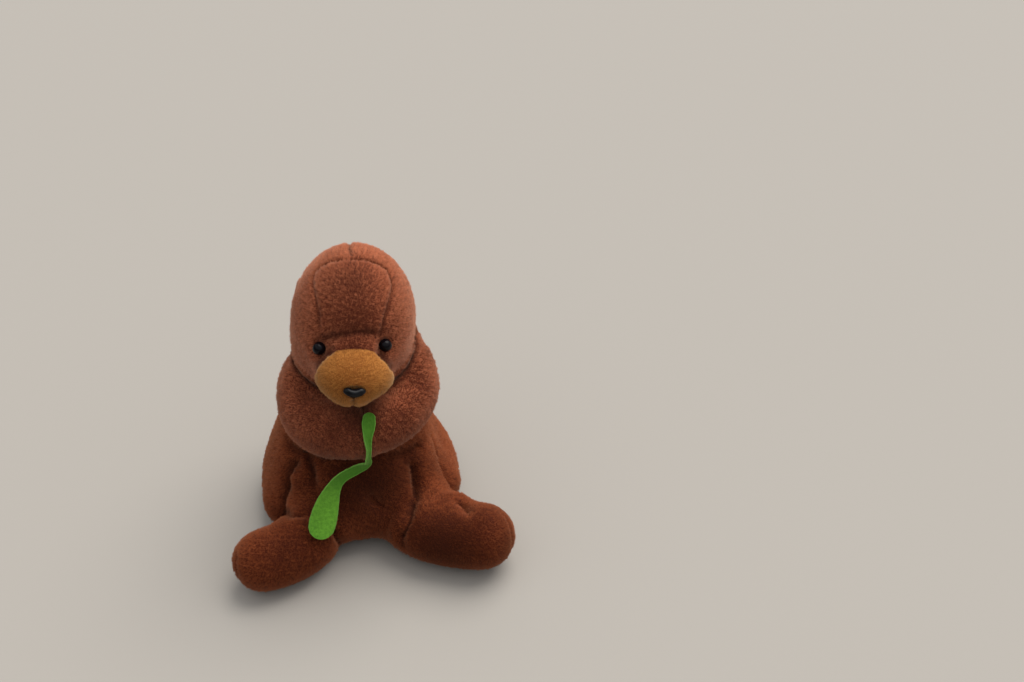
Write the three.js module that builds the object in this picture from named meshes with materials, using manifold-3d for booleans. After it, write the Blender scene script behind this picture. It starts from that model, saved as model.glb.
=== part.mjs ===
// A seated plush otter: a bean-filled toy of short-pile plush, with its arms wrapped round its
// chest and a felt strip of seaweed held between its paws.
//
// Millimetres, +Z up. The toy sits on Z = 0 and faces -Y, and its left side, as a viewer in
// front of it sees it, is -X. Each stuffed piece is a closed round form. Where two pieces
// meet, one is cut by the other grown by GAP, so that no two solids touch.

import * as THREE from "three";
import { mergeVertices } from "three/addons/utils/BufferGeometryUtils.js";
import Module from "manifold-3d";

const wasm = await Module();
wasm.setup();

// ---------------------------------------------------------------- driving dimensions

const GAP = 0.3;
const BLOCK = 400; // the side of a cutting block, larger than the toy

// The head is an egg that leans to one side and turns a little. Its muzzle is a second egg.
const HEAD_AT = [4, 0, 128];
const HEAD_HALF = [35, 39, 44];
const CHIN = 1.1; // how tall the lower half is, as a share of the upper
const JOWL = 0.28; // how much wider the lower half is than an egg's
const HEAD_LEAN = 7;
const HEAD_TURN = -4.5;
const MUZZLE_AT = [0, -36, -10];
const MUZZLE_HALF = [24.5, 24.5, 17.5];

// The tan panel ends at a seam over the bridge, and at one down each cheek. Each seam lies in
// a flat face, given by a point on it and the way it looks.
const PANEL_SEAMS = [
  { at: [0, -39.9, 3.1], out: [0, 4, 1] },
  { at: [-18.2, -45.4, -0.7], out: [-0.846, 0.43, 0.315] },
  { at: [18.7, -47.6, -2.3], out: [0.83, 0.3, 0.5] },
];

const EYE_RADIUS = 3.6;
const LEFT_EYE_AT = [-19.3, -32.3, 0.4];
const RIGHT_EYE_AT = [16.5, -33.2, 4];
const NOSE_AT = [-0.5, -59.2, -8];
const NOSE_HALF = [5.9, 3.2, 2.6];
const NOSE_TILT = 28;
const EAR_AT = [30, 19.5, 6];
const EAR_HALF = [2.6, 5.4, 6.2];
const EAR_SLANT = 28;

// Each stuffed limb is a list of stations: the middle of the section, then its half width
// (level) and its half height.
const TRUNK = [
  [-3, -7, -6, 55, 51],
  [-1.6, -8, 10, 62.4, 55],
  [-3.4, -4, 36, 52, 52],
  [-2, 0, 62, 40.5, 45],
  [1, 4, 85, 37.5, 38.5],
  [6.3, 9, 106, 35, 29],
  [8.3, 12, 135, 31.5, 23.5],
];
const TRUNK_CAPS = [17, 30];
const TRUNK_SQUARE = 2.4;
const LEFT_ARM = [
  [-10, 16, 95, 14, 15],
  [-26.5, 1, 89, 17, 18],
  [-29, -20, 80, 17.5, 18.5],
  [-18, -37, 78.5, 17.5, 18.5],
  [-1, -46, 82, 17, 17.5],
  [16, -46, 84, 15, 15],
];
const RIGHT_ARM = [
  [14, 19, 98, 14, 15],
  [31, 2, 92, 17, 18],
  [33, -18, 84.5, 17, 18],
  [22, -36, 81.5, 17, 17.5],
  [5, -46, 82.5, 17, 17],
  [-12, -46, 84, 15, 15],
];
const LEFT_LEG = [
  [-26, -32, 20, 17, 17],
  [-36, -59, 19.5, 20, 20.2],
  [-54, -70, 18.2, 19.5, 19],
  [-82, -72, 18.7, 18.5, 18.5],
];
const RIGHT_LEG = [
  [17, -40, 16, 25, 15.5],
  [32, -63, 17.5, 25, 18],
  [54, -79, 19.2, 21.5, 19.5],
  [79, -90, 26.5, 20, 20.5],
];
const TAIL = [
  [2, 28, 9, 15, 9],
  [3, 54, 6.6, 15.5, 7.2],
  [3, 74, 5.6, 14, 6.2],
  [2, 92, 5, 10, 5.6],
];
const PAWS_MEET_X = 2;

// The felt strip: the middle of its width, its half width, and the way its face looks.
const FELT_THICK = 1.2;
const LEAF = [
  [5, -51.5, 98.8, 0.9, 0, -1, 0.6],
  [4.5, -53.5, 97, 2.9, 0, -1, 0.6],
  [3.5, -57.5, 94, 3.7, 0, -1, 0.6],
  [2.2, -62, 89.5, 2.1, 0.2, -1, 0.4],
  [1.9, -65, 83, 1.6, 0.4, -1, 0],
  [1.2, -65, 77, 1.7, 0.4, -1, -0.1],
  [0.2, -63.5, 72, 2.3, 0.3, -1, 0.1],
  [-6.5, -61.5, 67, 2.7, 0.1, -1, 0.4],
  [-14.5, -62.5, 63.5, 3, 0.1, -1, 0.4],
  [-19.5, -65, 59, 4.2, 0, -1, 0.35],
  [-23.5, -67.5, 51.5, 6.2, 0, -1, 0.35],
  [-27, -71.5, 43.5, 7.4, 0, -1, 0.5],
  [-29.3, -75, 38.2, 6.6, 0, -1, 0.6],
  [-30.5, -77.2, 35.4, 4.2, 0, -1, 0.6],
  [-31, -78, 34, 0.8, 0, -1, 0.6],
];

// ---------------------------------------------------------------- shaping

const radians = THREE.MathUtils.degToRad;

// A three.js geometry with shared corners only: the form manifold-3d needs.
function joined(geometry) {
  geometry.deleteAttribute("normal");
  geometry.deleteAttribute("uv");
  return mergeVertices(geometry, 1e-5);
}

function solidOf(geometry) {
  const vertProperties = new Float32Array(geometry.getAttribute("position").array);
  const triVerts = new Uint32Array(geometry.index.array);
  return new wasm.Manifold(new wasm.Mesh({ numProp: 3, vertProperties, triVerts }));
}

// The geometry with each corner pushed out along its normal.
function grown(geometry, by) {
  const bigger = geometry.clone();
  bigger.computeVertexNormals();
  const place = bigger.getAttribute("position");
  const normal = bigger.getAttribute("normal");
  for (let i = 0; i < place.count; i++) {
    place.setXYZ(
      i,
      place.getX(i) + by * normal.getX(i),
      place.getY(i) + by * normal.getY(i),
      place.getZ(i) + by * normal.getZ(i),
    );
  }
  bigger.deleteAttribute("normal");
  return bigger;
}

// A closed round form: a unit ball whose every point is sent to its place.
function form(around, along, place) {
  const geometry = joined(new THREE.SphereGeometry(1, around, along));
  const corners = geometry.getAttribute("position");
  const point = new THREE.Vector3();
  for (let i = 0; i < corners.count; i++) {
    point.fromBufferAttribute(corners, i);
    place(point);
    corners.setXYZ(i, point.x, point.y, point.z);
  }
  return geometry;
}

// A cosine or sine bent so that an oval becomes squarer as the exponent rises above 2.
function squared(ratio, exponent) {
  return Math.sign(ratio) * Math.abs(ratio) ** (2 / exponent);
}

// A stuffed limb: oval sections swept through the stations and closed by round ends.
function limb(stations, around, along, options = {}) {
  const { across = new THREE.Vector3(0, 0, 1), axis, caps = [], square = 2 } = options;
  const path = new THREE.CatmullRomCurve3(
    stations.map(([x, y, z]) => new THREE.Vector3(x, y, z)),
  );
  const sizes = new THREE.CatmullRomCurve3(
    stations.map(([, , , wide, high]) => new THREE.Vector3(wide, high, 0)),
  );
  const length = path.getLength();
  return form(around, along, (point) => {
    const along01 = (1 - point.y) / 2;
    const t = path.getUtoTmapping(along01);
    const size = sizes.getPoint(t);
    const tangent = axis ?? path.getTangent(t);
    const side = new THREE.Vector3().crossVectors(across, tangent).normalize();
    const top = new THREE.Vector3().crossVectors(tangent, side).normalize();
    const fromEnd = Math.min(along01, 1 - along01) * length;
    const cap = (along01 < 0.5 ? caps[0] : caps[1]) ?? Math.min(size.x, size.y);
    const round = fromEnd < cap ? Math.sqrt(1 - (1 - fromEnd / cap) ** 2) : 1;
    const ring = Math.hypot(point.x, point.z) || 1;
    const level = size.x * round * squared(point.x / ring, square);
    const upright = size.y * round * squared(point.z / ring, square);
    point.copy(path.getPoint(t)).addScaledVector(side, level).addScaledVector(top, upright);
  });
}

// A flat strip of even thickness whose sides follow the stations' half widths.
function strip(stations, thick, along) {
  const path = new THREE.CatmullRomCurve3(
    stations.map(([x, y, z]) => new THREE.Vector3(x, y, z)),
  );
  const halves = new THREE.CatmullRomCurve3(
    stations.map(([, , , half]) => new THREE.Vector3(half, 0, 0)),
  );
  const faces = new THREE.CatmullRomCurve3(
    stations.map(([, , , , x, y, z]) => new THREE.Vector3(x, y, z)),
  );
  const geometry = joined(new THREE.BoxGeometry(1, 1, 1, 2, 1, along));
  const corners = geometry.getAttribute("position");
  for (let i = 0; i < corners.count; i++) {
    const t = path.getUtoTmapping(corners.getZ(i) + 0.5);
    const tangent = path.getTangent(t);
    const side = new THREE.Vector3().crossVectors(faces.getPoint(t), tangent).normalize();
    const face = new THREE.Vector3().crossVectors(tangent, side).normalize();
    const place = path
      .getPoint(t)
      .addScaledVector(side, 2 * halves.getPoint(t).x * corners.getX(i))
      .addScaledVector(face, thick * corners.getY(i));
    corners.setXYZ(i, place.x, place.y, place.z);
  }
  return geometry;
}

// A block that fills all the room behind a flat face: the face goes through a point and looks
// the way out, and by moves it on that way.
function behind(at, out, by = 0) {
  const block = joined(new THREE.BoxGeometry(BLOCK, BLOCK, BLOCK));
  block.translate(0, by - BLOCK / 2, 0);
  const turn = new THREE.Quaternion().setFromUnitVectors(
    new THREE.Vector3(0, 1, 0),
    new THREE.Vector3(...out).normalize(),
  );
  return block.applyQuaternion(turn).translate(...at);
}

// ---------------------------------------------------------------- the forms

const headFrame = new THREE.Matrix4()
  .makeRotationFromEuler(new THREE.Euler(0, radians(HEAD_LEAN), radians(HEAD_TURN)))
  .setPosition(...HEAD_AT);

function inHead(geometry) {
  return geometry.applyMatrix4(headFrame);
}

function egg(at, half, around, along) {
  return form(around, along, (point) => {
    point.multiply(new THREE.Vector3(...half)).add(new THREE.Vector3(...at));
  });
}

function skull() {
  const [wide, deep, tall] = HEAD_HALF;
  const ball = form(30, 20, (point) => {
    const low = Math.max(0, -point.z);
    const full = 1 + JOWL * low * low * (3 - 2 * low);
    point.set(
      wide * full * point.x,
      deep * point.y,
      tall * point.z * (point.z < 0 ? CHIN : 1),
    );
  });
  return inHead(ball);
}

function snout() {
  return inHead(egg(MUZZLE_AT, MUZZLE_HALF, 24, 18));
}

function bead(at) {
  return inHead(egg(at, [EYE_RADIUS, EYE_RADIUS, EYE_RADIUS], 12, 8));
}

// The nose is a wide bean whose two ends turn up.
function noseShield() {
  const [wide, deep, tall] = NOSE_HALF;
  const shield = form(14, 8, (point) => {
    const end = point.x ** 2;
    point.set(wide * point.x, deep * point.y, tall * point.z * (1 - 0.2 * end) + end - 0.3);
  });
  shield.rotateX(radians(-NOSE_TILT));
  shield.translate(...NOSE_AT);
  return inHead(shield);
}

// An ear is a small flat disc that lies back against the side of the head.
function earDisc(side) {
  const [thick, deep, tall] = EAR_HALF;
  const disc = egg([0, 0, 0], [thick, deep, tall], 12, 8);
  disc.rotateZ(radians(side * EAR_SLANT));
  disc.translate(side * EAR_AT[0], EAR_AT[1], EAR_AT[2]);
  return inHead(disc);
}

const forms = {
  skull: skull(),
  snout: snout(),
  eyeLeft: bead(LEFT_EYE_AT),
  eyeRight: bead(RIGHT_EYE_AT),
  nose: noseShield(),
  earLeft: earDisc(-1),
  earRight: earDisc(1),
  trunk: limb(TRUNK, 32, 20, {
    across: new THREE.Vector3(0, 1, 0),
    axis: new THREE.Vector3(0, 0, 1),
    caps: TRUNK_CAPS,
    square: TRUNK_SQUARE,
  }),
  armLeft: limb(LEFT_ARM, 16, 20),
  armRight: limb(RIGHT_ARM, 16, 20),
  legLeft: limb(LEFT_LEG, 18, 16),
  legRight: limb(RIGHT_LEG, 18, 16),
  tail: limb(TAIL, 14, 12),
  leaf: strip(LEAF, FELT_THICK, 30),
};

const whole = {};
const cutter = {};
for (const [name, geometry] of Object.entries(forms)) {
  whole[name] = solidOf(geometry);
  cutter[name] = solidOf(grown(geometry, GAP));
}

// ---------------------------------------------------------------- cutting

function without(solid, ...others) {
  return others.reduce((left, other) => left.subtract(other), solid);
}

// The tan muzzle is the front of the face, within its three seams.
function tanPanel(margin) {
  return PANEL_SEAMS.map(({ at, out }) => solidOf(inHead(behind(at, out, margin)))).reduce(
    (all, next) => all.intersect(next),
  );
}

// The two paws press flat on each other.
function besideTheMeeting(side) {
  return solidOf(behind([PAWS_MEET_X, 0, 0], [-side, 0, 0], -GAP / 2));
}

const floor = solidOf(behind([0, 0, 0], [0, 0, 1]));
const beads = [cutter.eyeLeft, cutter.eyeRight];
const face = whole.skull.add(whole.snout);
const faceCutter = cutter.skull.add(cutter.snout);

const solids = {
  head: without(face, tanPanel(GAP), ...beads),
  muzzle: without(face.intersect(tanPanel(0)), cutter.nose, ...beads),
  eye_left: whole.eyeLeft,
  eye_right: whole.eyeRight,
  nose: whole.nose,
  ear_left: without(whole.earLeft, faceCutter),
  ear_right: without(whole.earRight, faceCutter),
  arm_left: without(whole.armLeft, faceCutter, cutter.leaf).intersect(besideTheMeeting(-1)),
  arm_right: without(whole.armRight, faceCutter, cutter.leaf).intersect(besideTheMeeting(1)),
  leg_left: without(whole.legLeft, floor, cutter.leaf),
  leg_right: without(whole.legRight, floor),
  trunk: without(
    whole.trunk,
    floor,
    faceCutter,
    cutter.earLeft,
    cutter.earRight,
    cutter.armLeft,
    cutter.armRight,
    cutter.legLeft,
    cutter.legRight,
    cutter.leaf,
  ),
  tail: without(whole.tail, floor, cutter.trunk),
  leaf: whole.leaf,
};

// ---------------------------------------------------------------- the finished toy

const plush = new THREE.MeshStandardMaterial({ color: 0x5f2f22, roughness: 1 });
const tanPlush = new THREE.MeshStandardMaterial({ color: 0x8d5a32, roughness: 1 });
const felt = new THREE.MeshStandardMaterial({ color: 0x4d7b26, roughness: 0.95 });
const plastic = new THREE.MeshStandardMaterial({ color: 0x0d090d, roughness: 0.1 });

const finishes = {
  muzzle: tanPlush,
  eye_left: plastic,
  eye_right: plastic,
  nose: plastic,
  leaf: felt,
};

function meshOf(name, solid) {
  const { vertProperties, triVerts } = solid.getMesh();
  const geometry = new THREE.BufferGeometry();
  geometry.setAttribute("position", new THREE.BufferAttribute(vertProperties, 3));
  geometry.setIndex(new THREE.BufferAttribute(triVerts, 1));
  geometry.computeVertexNormals();
  const mesh = new THREE.Mesh(geometry, finishes[name] ?? plush);
  mesh.name = name;
  return mesh;
}

const toy = new THREE.Group();
for (const [name, solid] of Object.entries(solids)) {
  toy.add(meshOf(name, solid));
}

// The origin is on the floor, under the middle of the toy's box.
const box = new THREE.Box3().setFromObject(toy);
const middle = box.getCenter(new THREE.Vector3());
toy.position.set(-middle.x, -middle.y, 0);

export default toy;
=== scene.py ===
"""The looks of a seated plush otter that holds a felt strip of seaweed to its chest.

Each stuffed piece is a sewn skin with a pile of short tufts over it. Places are typed in
millimetres, in the toy's own frame or in its head's, and spots() and from_head() give them in
metres, in the frame of the part.
"""

import math

import bmesh
import bpy
import numpy as np
from mathutils import Matrix, Vector
from mathutils.bvhtree import BVHTree
from mathutils.kdtree import KDTree


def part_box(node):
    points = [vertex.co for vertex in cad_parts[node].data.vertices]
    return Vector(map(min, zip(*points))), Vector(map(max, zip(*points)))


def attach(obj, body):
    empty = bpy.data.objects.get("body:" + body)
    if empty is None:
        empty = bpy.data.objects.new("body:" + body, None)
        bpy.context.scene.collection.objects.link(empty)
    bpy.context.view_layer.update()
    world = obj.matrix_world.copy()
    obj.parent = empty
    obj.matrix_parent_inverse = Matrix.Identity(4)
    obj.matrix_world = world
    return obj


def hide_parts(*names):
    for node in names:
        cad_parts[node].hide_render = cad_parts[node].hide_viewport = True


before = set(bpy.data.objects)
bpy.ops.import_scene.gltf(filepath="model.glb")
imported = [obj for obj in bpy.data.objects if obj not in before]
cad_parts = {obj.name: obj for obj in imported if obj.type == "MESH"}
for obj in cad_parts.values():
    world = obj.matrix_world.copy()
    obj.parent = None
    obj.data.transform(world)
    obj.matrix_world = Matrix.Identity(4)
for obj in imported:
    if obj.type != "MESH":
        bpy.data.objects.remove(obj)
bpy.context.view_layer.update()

MM = 0.001
UP = np.array((0.0, 0.0, 1.0))

# ---- sizes of the toy

TOY_AT = (0.41, 5.58, 0)  # where the toy's own frame stands in the part's

PILE = 1.7  # how long the pile is on the body
PILE_FACE = 1.15  # and on the face
SKIN_DEPTH = 1.25  # how far the skin lies inside the toy's outline
FILLED = 1.1  # how much smaller than it ends up a skin is before it is filled
MOST_FILLED = 1.9  # how far the filling may push a skin out
TUFT_WIDTH = 0.30
TUFTS_PER_MM2 = 5.2
LEAST_ROOM = 0.4  # where less than this is free above a skin, it has no pile
VOXEL = 1.05  # how fine the skins of the body and the arms are
NEARBY = 14  # how far round a line a skin is looked at

HEAD_MIDDLE = (4, 0, 128)
HEAD_LEAN = 7  # degrees, over the right arm
HEAD_TURN = -4.5  # degrees, towards the left arm

EYE_RADIUS = 3.5
NOSE_HALF = (6.0, 3.2, 2.45)  # half its width, depth and height
NOSE_TILT = 28  # how far the nose leans back with the snout, in degrees
LEAF_THICK = 1.2
LEAF_RIM = 0.9  # how wide the strip's pale edge is

# The middle line of each stuffed limb, from its root to the middle of its round end.
LINES = {
    "trunk": [(-2, -6, 16), (-3, -4, 40), (-2, 0, 62), (1, 4, 85), (6, 9, 104), (8, 11, 118)],
    "leg_left": [(-26, -32, 20), (-36, -59, 19), (-54, -70, 18), (-64, -72, 18)],
    "leg_right": [(17, -40, 16), (32, -63, 17), (54, -79, 19), (62, -83, 21)],
    "tail": [(2, 28, 8), (3, 54, 7), (3, 74, 6), (2, 85, 5)],
    "arm_left": [(-10, 14, 96), (-26, 0, 89), (-29, -20, 80), (-18, -37, 78), (-6, -45, 81)],
    "arm_right": [(14, 14, 97), (31, 0, 90), (33, -18, 84), (22, -36, 82), (8, -45, 83)],
}

# ---- frames and lines

HEAD = (
    Matrix.Translation((Vector(HEAD_MIDDLE) + Vector(TOY_AT)) * MM)
    @ Matrix.Rotation(math.radians(HEAD_LEAN), 4, "Y")
    @ Matrix.Rotation(math.radians(HEAD_TURN), 4, "Z")
    @ Matrix.Scale(MM, 4)
)


def placed(points, matrix):
    """Points sent through a matrix."""
    m = np.array(matrix)
    return np.asarray(points, float) @ m[:3, :3].T + m[:3, 3]


def spots(points):
    """Places given in the toy's own frame, in millimetres, as places in the part."""
    return (np.asarray(points, float) + TOY_AT) * MM


def from_head(points):
    """Places given in the head's own frame, in millimetres, as places in the part."""
    return placed(points, HEAD)


def to_head(points):
    """Places in the part as places in the head's own frame, in millimetres."""
    return placed(points, HEAD.inverted())


def smooth_step(low, high, value):
    """A share that rises from 0 at low to 1 at high, without a kink."""
    t = np.clip((value - low) / (high - low), 0, 1)
    return t * t * (3 - 2 * t)


def unit(vectors):
    return vectors / np.maximum(np.linalg.norm(vectors, axis=-1, keepdims=True), 1e-12)


def fading(distance, radius):
    """A share that is 1 at no distance and dies away over the radius."""
    return np.exp(-((distance / radius) ** 2))


def rounded(points, spacing):
    """A smooth line through the points, as samples about that far apart."""
    p = np.asarray(points, float)
    p = np.vstack([2 * p[0] - p[1], p, 2 * p[-1] - p[-2]])
    out = []
    for a, b, c, d in zip(p[:-3], p[1:-2], p[2:-1], p[3:]):
        steps = max(2, int(np.linalg.norm(c - b) / spacing) + 1)
        t = np.linspace(0, 1, steps, endpoint=False)[:, None]
        bend = (2 * a - 5 * b + 4 * c - d) * t**2 + (3 * b - a - 3 * c + d) * t**3
        out.append(0.5 * (2 * b + (c - a) * t + bend))
    return np.vstack([*out, p[-2:-1]])


def beside(line, points):
    """For each point: how far along the line it is, how far past its end, how far off it, the
    line's direction there, and the way out from it."""
    line = np.asarray(line, float)
    found = None
    done = 0.0
    last = len(line) - 2
    for i, (a, b) in enumerate(zip(line[:-1], line[1:])):
        length = max(np.linalg.norm(b - a), 1e-9)
        ahead = (b - a) / length
        t = (points - a) @ ahead
        held = np.clip(t, 0, length)
        out = points - a - held[:, None] * ahead
        off = np.linalg.norm(out, axis=1)
        past = (i == 0) * np.minimum(t, 0) + (i == last) * np.maximum(t - length, 0)
        row = (done + held, past, off, np.broadcast_to(ahead, points.shape), out)
        if found is None:
            found = [np.array(x) for x in row]
        else:
            nearer = off < found[2]
            for kept, new in zip(found, row):
                kept[nearer] = new[nearer]
        done += length
    return found


def within(at, low, high, reach):
    """The numbers of the places in a box that is that many millimetres wider all round."""
    inside = (at > np.array(low) - reach * MM) & (at < np.array(high) + reach * MM)
    return np.flatnonzero(inside.all(1))


# ---- meshes and objects


def read(rows, field, width, kind=float):
    """A field of a mesh's corners, edges or triangles, a row for each."""
    out = np.empty(len(rows) * width, kind)
    rows.foreach_get(field, out)
    return out.reshape(-1, width)


def corners_of(mesh):
    """The places of a mesh's corners."""
    return read(mesh.vertices, "co", 3)


def normals_of(mesh):
    return read(mesh.vertex_normals, "vector", 3)


def mark(mesh, label, values):
    """Gives each corner of a mesh a number that its material reads."""
    layer = mesh.attributes.new(label, "FLOAT", "POINT")
    layer.data.foreach_set("value", np.asarray(values, np.float32).ravel())


def mesh_from(bm, name):
    """The mesh of a bmesh that is then done with."""
    mesh = bpy.data.meshes.new(name)
    bm.to_mesh(mesh)
    bm.free()
    return mesh


def new_object(name, data):
    made = bpy.data.objects.new(name, data)
    bpy.context.scene.collection.objects.link(made)
    return made


def evaluated(shape):
    return shape.evaluated_get(bpy.context.evaluated_depsgraph_get())


def remeshed(shape, voxel):
    """The object's mesh made anew from voxels that many millimetres wide."""
    remesh = shape.modifiers.new("remesh", "REMESH")
    remesh.mode = "VOXEL"
    remesh.voxel_size = voxel * MM
    bpy.context.view_layer.update()
    return bpy.data.meshes.new_from_object(evaluated(shape))


def piece(name, mesh, material, nodes=()):
    """A finished piece of the toy."""
    made = new_object(name, mesh)
    mesh.materials.clear()
    mesh.materials.append(material)
    mesh.shade_smooth()
    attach(made, "root")
    if nodes:
        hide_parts(*nodes)
    return made


# ---- skins

solids = {}


def solid_of(node):
    """A CAD node as a closed mesh with shared corners."""
    if node not in solids:
        bm = bmesh.new()
        bm.from_mesh(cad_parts[node].data)
        bmesh.ops.remove_doubles(bm, verts=bm.verts, dist=2e-5)
        bm.normal_update()
        solids[node] = bm
    return solids[node]


def tree_of(node):
    return BVHTree.FromBMesh(solid_of(node))


def middle_of(node):
    """The middle of a CAD node's box."""
    low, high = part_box(node)
    return (low + high) / 2


class Skin:
    """A mesh while its corners are moved: places, edges, and the normals when asked for."""

    def __init__(self, mesh):
        self.mesh = mesh
        self.at = corners_of(mesh)
        self.edges = read(mesh.edges, "vertices", 2, int)
        self.shares = np.bincount(self.edges.ravel(), minlength=len(self.at))[:, None]
        self.parted_and_shaded = np.zeros(len(self.at))

    def write(self):
        self.mesh.vertices.foreach_set("co", self.at.ravel())
        self.mesh.update()

    def finish(self):
        """Writes the corners, and at each how far the pile parts and is darkened, partly as
        painted shade.
        """
        self.write()
        mark(self.mesh, "parted_and_shaded", self.parted_and_shaded)

    def normals(self):
        self.write()
        return normals_of(self.mesh)

    def near(self, line):
        """The numbers of the corners near a line."""
        return within(self.at, line.min(0), line.max(0), NEARBY)

    def away(self, point):
        """How far each corner is from a point, in millimetres."""
        return np.linalg.norm(self.at - point, axis=1) / MM

    def part(self, share):
        """Parts the pile and darkens it by at least that share at each corner; the darkening is
        partly the dark of the pile where it parts and partly painted shade.
        """
        self.parted_and_shaded = np.maximum(self.parted_and_shaded, share)

    def neighbours(self):
        """The middle of each corner's neighbours."""
        one, two = self.edges.T
        n = len(self.at)
        sums = [np.bincount(one, x[two], n) + np.bincount(two, x[one], n) for x in self.at.T]
        return np.stack(sums, 1) / np.maximum(self.shares, 1)

    def smooth(self, rounds, share=0.5, weight=1.0):
        weight = np.reshape(weight, (-1, 1)) if np.ndim(weight) else weight
        for _ in range(rounds):
            self.at += share * weight * (self.neighbours() - self.at)

    def push(self, depth):
        """Moves each corner in by that depth, in millimetres."""
        self.at -= self.normals() * np.reshape(depth, (-1, 1)) * MM

    def laid(self, points):
        """A smooth line through the points, laid on the skin."""
        line = rounded(points, 0.7 * MM)
        near = self.at[self.near(line)]
        nearest = [np.linalg.norm(near - spot, axis=1).argmin() for spot in line]
        line = near[nearest]
        for _ in range(3):
            line[1:-1] = (line[:-2] + 2 * line[1:-1] + line[2:]) / 4
        return line

    def fold(self, points, depth, width, pucker=0.0, pitch=5.0, reach=3.5):
        """Draws the skin in along a line: a seam, with puckers beside it, or a soft fold. It
        darkens the pile along the line too: partly the dark of the pile where it parts at seams,
        partly painted shade in the creases.
        """
        line = self.laid(points)
        near = self.near(line)
        along, _, off, _, _ = beside(line, self.at[near])
        s, d = along / MM, off / MM
        wave = np.cos(2 * math.pi * s / pitch + 1.3 * np.sin(s / 7.1))
        ends = smooth_step(0, 4, s) * smooth_step(0, 4, s.max() - s)
        depths = np.zeros(len(self.at))
        depths[near] = (0.35 + 0.65 * ends) * (
            depth * (1 + 0.25 * pucker * wave) * fading(d, width)
            - 0.22 * pucker * wave * fading(d, reach)
        )
        self.push(depths)
        # Darkens the pile along the line: partly the dark of the pile where it parts at seams,
        # partly painted shade in the creases.
        share = (0.5 + 0.5 * ends) * fading(d, 0.95 * width)
        share *= min(1, 0.7 + 0.8 * pucker) * min(1, depth / 1.5)
        self.parted_and_shaded[near] = np.maximum(self.parted_and_shaded[near], share)

    def apart(self, nodes, reach=9.0):
        """How far each corner is from the nearest of the nodes, up to reach millimetres."""
        off = np.full(len(self.at), reach)
        for node in nodes:
            tree = tree_of(node)
            for i in within(self.at, *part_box(node), reach):
                found = tree.find_nearest(Vector(self.at[i]), reach * MM)[3]
                if found is not None:
                    off[i] = min(off[i], found / MM)
        return off

    def inset(self, nodes):
        """Draws the skin in to leave room for its pile, and stays close to touching nodes."""
        off = self.apart(nodes)
        self.smooth(30, 0.5, fading(off, 3.5))
        self.push((SKIN_DEPTH + FILLED) * smooth_step(0.4, 4.5, off))
        self.smooth(3)

    def shade(self, nodes, reach, dark):
        """Paints shade where other nodes lie close by, darkening and shortening the pile there."""
        self.part(dark * fading(self.apart(nodes), reach))

    def flatten(self, rows):
        """Paints shade on the pile, darkening and shortening it: each row has a place in the toy's
        frame, a radius and a share.
        """
        for place, radius, share in rows:
            self.part(share * fading(self.away(spots(place)), radius))

    def dent(self, point, radius, depth):
        """Presses the skin in round a point. A negative depth fills it out."""
        self.push(depth * fading(self.away(point), radius))

    def fill(self, seams, against, firm=4000.0, grain=4.0):
        """Swells the skin with its filling. A coarser copy, held along the seams, on the floor and
        where other nodes press on it, is simulated as cloth with pressure inside, and the skin
        follows it, by MOST_FILLED at most. The pressure is this high because the cloth is so
        small."""
        self.write()
        scene = bpy.context.scene
        shape = new_object("filling", self.mesh.copy())
        coarse = remeshed(shape, grain)
        shape.modifiers.clear()
        shape.data = coarse
        start = corners_of(coarse)
        held = np.zeros(len(start))
        for seam in seams:
            off = beside(self.laid(seam), start)[2] / MM
            held = np.maximum(held, fading(off, grain))
        held[start[:, 2] < 2.5 * MM] = 1
        for tree in map(tree_of, against):
            for i, spot in enumerate(start):
                if tree.find_nearest(spot, 4 * MM)[0] is not None:
                    held[i] = 1
        pins = shape.vertex_groups.new(name="seams")
        for i in np.flatnonzero(held > 0.02):
            pins.add([int(i)], float(held[i]), "REPLACE")
        cloth = shape.modifiers.new("cloth", "CLOTH").settings
        cloth.quality = 6
        cloth.use_pressure = True
        cloth.uniform_pressure_force = firm
        cloth.vertex_group_mass = "seams"
        cloth.effector_weights.gravity = 0
        for number in range(1, 21):
            scene.frame_set(number)
        moved = corners_of(evaluated(shape).data) - start
        scene.frame_set(1)
        bpy.data.objects.remove(shape)
        size = np.linalg.norm(moved, axis=1, keepdims=True)
        most = MOST_FILLED * MM
        moved *= most * np.tanh(size / most) / np.maximum(size, 1e-9)
        tree = KDTree(len(start))
        for i, spot in enumerate(start):
            tree.insert(spot, i)
        tree.balance()
        for i, spot in enumerate(self.at.copy()):
            found = tree.find_n(spot, 5)
            share = np.array([1 / (f[2] / MM + 0.5) ** 2 for f in found])
            self.at[i] += share @ moved[[f[1] for f in found]] / share.sum()


def union(nodes, grow, voxel):
    """One closed mesh round several CAD nodes, each first grown by that much."""
    joined = bmesh.new()
    for node in nodes:
        part = solid_of(node).copy()
        for v in part.verts:
            v.co += v.normal * grow * MM
        mesh = mesh_from(part, "part")
        joined.from_mesh(mesh)
        bpy.data.meshes.remove(mesh)
    shape = new_object("joined", mesh_from(joined, "joined"))
    made = remeshed(shape, voxel)
    bpy.data.objects.remove(shape)
    return largest(made)


def largest(mesh):
    """The mesh without its smaller loose parts."""
    one, two = read(mesh.edges, "vertices", 2, int).T
    label = np.arange(len(mesh.vertices))
    while True:
        low = np.minimum(label[one], label[two])
        new = label.copy()
        np.minimum.at(new, one, low)
        np.minimum.at(new, two, low)
        new = new[new]
        if (new == label).all():
            break
        label = new
    keep = np.bincount(label).argmax()
    if (label != keep).any():
        bm = bmesh.new()
        bm.from_mesh(mesh)
        bm.verts.ensure_lookup_table()
        extra = [bm.verts[i] for i in np.flatnonzero(label != keep)]
        bmesh.ops.delete(bm, geom=extra, context="VERTS")
        bm.to_mesh(mesh)
        bm.free()
    return mesh


STEP_BACK = 0.6  # how far under the skin a look upwards starts


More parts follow.
